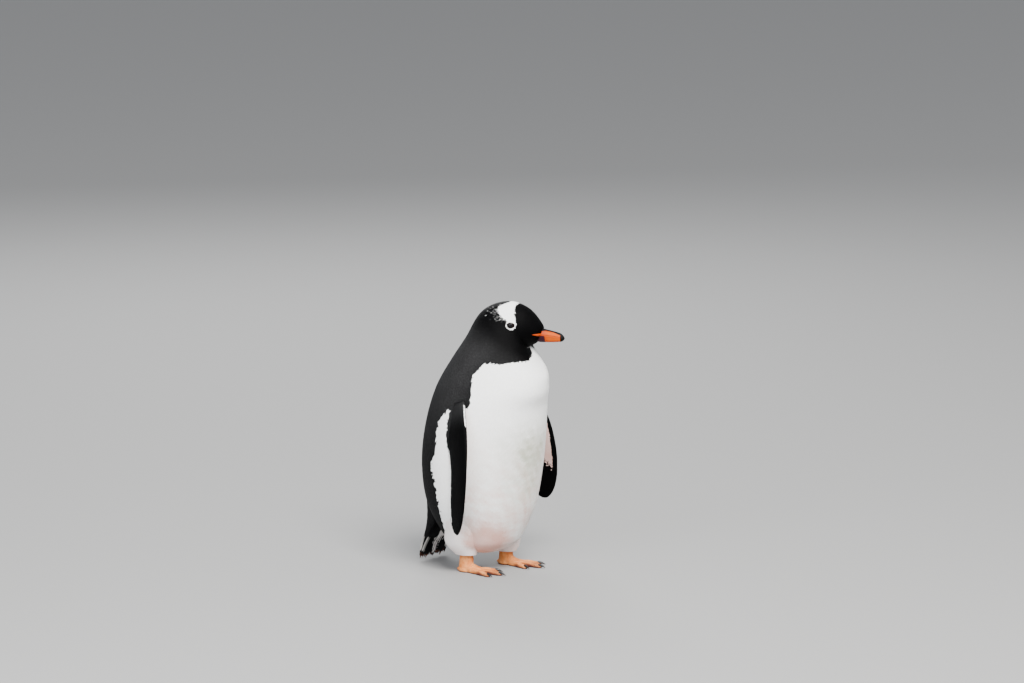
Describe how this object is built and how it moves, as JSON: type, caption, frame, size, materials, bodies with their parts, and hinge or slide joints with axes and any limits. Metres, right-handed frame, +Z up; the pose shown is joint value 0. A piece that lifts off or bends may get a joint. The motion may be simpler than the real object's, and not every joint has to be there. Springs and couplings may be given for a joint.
{
  "type": "gentoo penguin",
  "caption": "Life-size gentoo penguin standing upright, head turned to its left, flippers hanging a little away from its sides, stiff tail propped on the ground.",
  "frame": {"origin": "middle of the bounding box at floor level", "axes": "+Z up, the bird's body faces -Y, its left side is towards +X"},
  "size_m": [0.317, 0.2942, 0.5183],
  "materials": {
    "black_plumage": "slate-black feathers with a faint sheen",
    "head_plumage": "near-black short feathers with white flecks behind the white patch",
    "white_plumage": "white feathers, matt, slightly soiled low on the belly",
    "bill": "orange horn sides under a black ridge and tip",
    "eye": "wet dark brown",
    "foot": "pale orange scaly skin",
    "claw": "dark brown horn"
  },
  "bodies": {
    "root": {"trunk": "white_plumage", "neck": "black_plumage", "head": "head_plumage", "bill_upper": "bill", "bill_lower": "bill", "eye_left": "eye", "eye_right": "eye", "tail": "black_plumage", "flipper_left": "black_plumage", "flipper_right": "black_plumage", "leg_left": "white_plumage", "foot_left": "foot", "leg_right": "white_plumage", "foot_right": "foot", "claw_left_inner": "claw", "claw_left_middle": "claw", "claw_left_outer": "claw", "claw_right_inner": "claw", "claw_right_middle": "claw", "claw_right_outer": "claw"}
  },
  "joints": []
}
